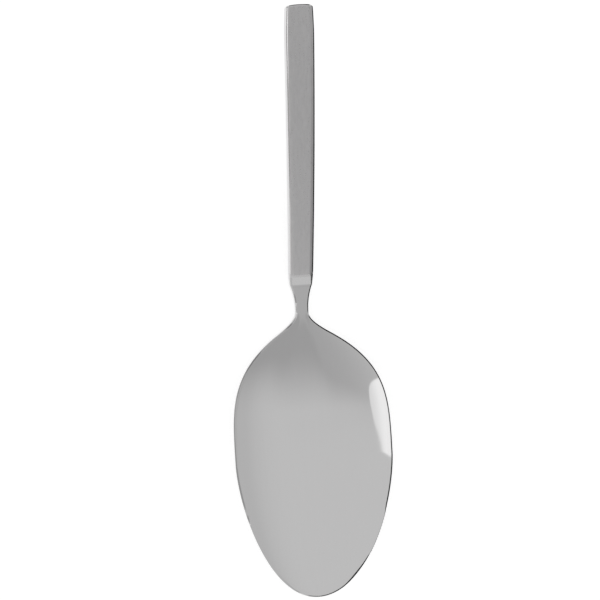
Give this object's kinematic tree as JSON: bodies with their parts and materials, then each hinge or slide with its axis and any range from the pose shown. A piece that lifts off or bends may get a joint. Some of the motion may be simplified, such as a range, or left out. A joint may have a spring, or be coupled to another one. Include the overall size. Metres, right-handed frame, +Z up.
{
  "type": "serving spoon",
  "caption": "Flat serving spoon: a wide, shallow leaf-shaped steel bowl on a slim neck, with a bolster and a hollow, gently arched bar handle.",
  "frame": {"origin": "on the table under the middle of the spoon's length", "axes": "+Y from the tip of the bowl towards the handle, +Z up out of the bowl, +X across"},
  "size_m": [0.07, 0.2572, 0.0385],
  "materials": {
    "bowl_steel": "finely polished stainless steel",
    "bolster_steel": "polished stainless steel",
    "handle_steel": "satin stainless steel, brushed lengthwise",
    "bedding": "cast bedding compound"
  },
  "bodies": {
    "root": {"bowl": "bowl_steel", "bolster": "bolster_steel", "handle_front_shell": "handle_steel", "handle_back_shell": "handle_steel", "handle_filler": "bedding"}
  },
  "joints": []
}
